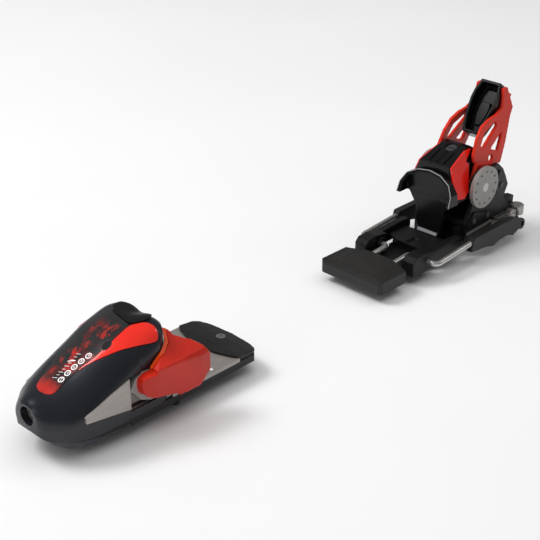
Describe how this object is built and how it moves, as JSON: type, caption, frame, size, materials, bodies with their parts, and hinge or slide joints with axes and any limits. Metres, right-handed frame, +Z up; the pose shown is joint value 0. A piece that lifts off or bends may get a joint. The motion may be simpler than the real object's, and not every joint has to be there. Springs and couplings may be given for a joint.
{
  "type": "alpine ski binding",
  "caption": "Alpine ski binding: toe piece with swinging wings and release spring, heel piece with step-in cup, lever, length adjuster and ski brake.",
  "frame": {"origin": "centre of the bounding box in plan, on the ski's top surface", "axes": "+X from the toe piece to the heel piece, +Y across the ski, +Z up"},
  "size_m": [0.5296, 0.0892, 0.1316],
  "materials": {
    "foot_grey": "matte slate grey moulding",
    "base_black": "matte black moulding",
    "plate_steel": "brushed warm grey steel",
    "rib_white": "satin white",
    "dome_black": "soft gloss black with a slight blue tint",
    "window_print": "glossy cover with a dark red and black print under a clear skin",
    "flank_red": "high gloss red",
    "wing_red": "deep red moulding, slightly translucent",
    "lip_orange": "bright orange strip",
    "pin_steel": "polished steel",
    "spring_steel": "dark spring steel",
    "alloy": "satin aluminium",
    "screw_steel": "zinc plated steel",
    "afd_black": "fine grained black low friction plastic",
    "pad_black": "fine grained charcoal plastic",
    "wire_steel": "polished stainless wire",
    "heel_black": "gloss black moulding",
    "panel_red": "high gloss red",
    "disc_grey": "speckled grey",
    "lever_red": "satin red",
    "trim_grey": "silver grey edge"
  },
  "bodies": {
    "base": {"toe_front_foot": "foot_grey", "toe_base": "base_black", "toe_chassis": "plate_steel", "toe_guide_ribs": "rib_white", "toe_housing": "dome_black", "toe_window": "window_print", "toe_flank_left": "flank_red", "toe_flank_right": "flank_red", "wing_pivot_pins": "pin_steel", "toe_release_spring": "spring_steel", "brake_base_left": "base_black", "brake_base_right": "base_black", "heel_base_plate": "base_black", "heel_track": "base_black", "brake_cover": "base_black", "track_nut": "alloy", "track_end_cap": "base_black"},
    "wing_left_arm": {"wing_left": "wing_red", "wing_lip_left": "lip_orange"},
    "wing_right_arm": {"wing_right": "wing_red", "wing_lip_right": "lip_orange"},
    "drawbar": {"toe_drawbar": "alloy"},
    "toe_setter": {"toe_setting_screw": "screw_steel"},
    "toe_nut": {"toe_spring_nut": "lip_orange"},
    "afd_slider": {"afd_plate": "afd_black", "afd_shoe": "base_black", "afd_screw": "screw_steel"},
    "brake_arms": {"brake_wire": "wire_steel", "brake_foot_left": "pad_black", "brake_foot_right": "pad_black", "brake_rollers": "base_black"},
    "brake_pad": {"brake_pedal": "pad_black"},
    "adjuster": {"adjuster_block": "alloy"},
    "length_setter": {"length_screw": "screw_steel"},
    "carrier": {"heel_carrier": "base_black", "carrier_rails": "plate_steel", "rear_cover": "heel_black", "side_latch": "screw_steel", "pressure_springs": "spring_steel", "main_axle": "pin_steel", "axle_disc_left": "disc_grey", "axle_disc_right": "disc_grey", "heel_cam": "screw_steel"},
    "heel_head": {"heel_housing": "heel_black", "heel_cup": "heel_black", "cup_trim": "trim_grey", "treadle": "trim_grey", "side_panel_left": "panel_red", "side_panel_right": "panel_red", "heel_release_spring": "spring_steel"},
    "piston": {"heel_piston": "alloy"},
    "heel_nut": {"heel_spring_nut": "alloy"},
    "heel_setter": {"heel_setting_screw": "spring_steel"},
    "lever": {"heel_lever": "lever_red", "pole_socket": "heel_black"}
  },
  "joints": [
    {"name": "wing_left_swing", "type": "hinge", "parent": "base", "child": "wing_left_arm", "pos_m": [-0.1838, -0.0225, 0.03], "axis": [0, 0, -1], "range_deg": [0, 30], "stiffness_Nm_per_rad": 6, "springref_deg": -20.05},
    {"name": "wing_right_swing", "type": "hinge", "parent": "base", "child": "wing_right_arm", "pos_m": [-0.1838, 0.0225, 0.03], "axis": [0, 0, 1], "range_deg": [0, 30], "stiffness_Nm_per_rad": 6, "springref_deg": -20.05},
    {"name": "drawbar_slide", "type": "slide", "parent": "base", "child": "drawbar", "axis": [1, 0, 0], "range_m": [0, 0.0035], "stiffness_N_per_m": 40000, "springref_m": -0.004, "deforming": ["toe_release_spring"]},
    {"name": "toe_screw_turn", "type": "hinge", "parent": "drawbar", "child": "toe_setter", "pos_m": [-0.2468, 0, 0.0246], "axis": [1, 0, 0], "range_deg": [-718, 0]},
    {"name": "toe_nut_travel", "type": "slide", "parent": "drawbar", "child": "toe_nut", "axis": [1, 0, 0], "range_m": [-0.003, 0]},
    {"name": "afd_slide", "type": "slide", "parent": "base", "child": "afd_slider", "axis": [0, 1, 0], "range_m": [-0.006, 0.006], "stiffness_N_per_m": 2000},
    {"name": "brake_swing", "type": "hinge", "parent": "base", "child": "brake_arms", "pos_m": [0.1243, 0, 0.009], "axis": [0, 1, 0], "range_deg": [0, 60]},
    {"name": "pedal_tilt", "type": "hinge", "parent": "brake_arms", "child": "brake_pad", "pos_m": [0.0808, 0, 0.006], "axis": [0, 1, 0], "range_deg": [-45, 0]},
    {"name": "length_travel", "type": "slide", "parent": "base", "child": "adjuster", "axis": [1, 0, 0], "range_m": [-0.008, 0.008]},
    {"name": "length_screw_turn", "type": "hinge", "parent": "adjuster", "child": "length_setter", "pos_m": [0.2508, 0, 0.014], "axis": [1, 0, 0], "range_deg": [-730, 730]},
    {"name": "forward_pressure", "type": "slide", "parent": "adjuster", "child": "carrier", "axis": [1, 0, 0], "range_m": [0, 0.005], "stiffness_N_per_m": 20000, "springref_m": -0.006, "deforming": ["pressure_springs"]},
    {"name": "heel_release", "type": "hinge", "parent": "carrier", "child": "heel_head", "pos_m": [0.2031, 0, 0.0523], "axis": [0, 1, 0], "range_deg": [0, 30], "stiffness_Nm_per_rad": 12, "springref_deg": -17.19},
    {"name": "lever_swing", "type": "hinge", "parent": "carrier", "child": "lever", "pos_m": [0.2031, 0, 0.0523], "axis": [0, 1, 0], "range_deg": [0, 42]},
    {"name": "piston_lift", "type": "slide", "parent": "heel_head", "child": "piston", "axis": [-0.342, 0, 0.9397], "range_m": [0, 0.0016], "deforming": ["heel_release_spring"]},
    {"name": "heel_nut_travel", "type": "slide", "parent": "heel_head", "child": "heel_nut", "axis": [-0.342, 0, 0.9397], "range_m": [-0.0005, 0]},
    {"name": "heel_screw_turn", "type": "hinge", "parent": "heel_head", "child": "heel_setter", "pos_m": [0.19229, 0, 0.08199], "axis": [-0.342, 0, 0.9397], "range_deg": [0, 144]}
  ],
  "couplings": [
    {"joint": "toe_nut_travel", "follows": "toe_screw_turn", "m_per_rad": 0.00023873},
    {"joint": "pedal_tilt", "follows": "brake_swing", "ratio": -0.75},
    {"joint": "length_screw_turn", "follows": "length_travel", "rad_per_m": 1570.8},
    {"joint": "lever_swing", "follows": "heel_release", "ratio": 1.4},
    {"joint": "piston_lift", "follows": "heel_release", "m_per_rad": 0.003056},
    {"joint": "heel_nut_travel", "follows": "heel_screw_turn", "m_per_rad": -0.00019894}
  ]
}
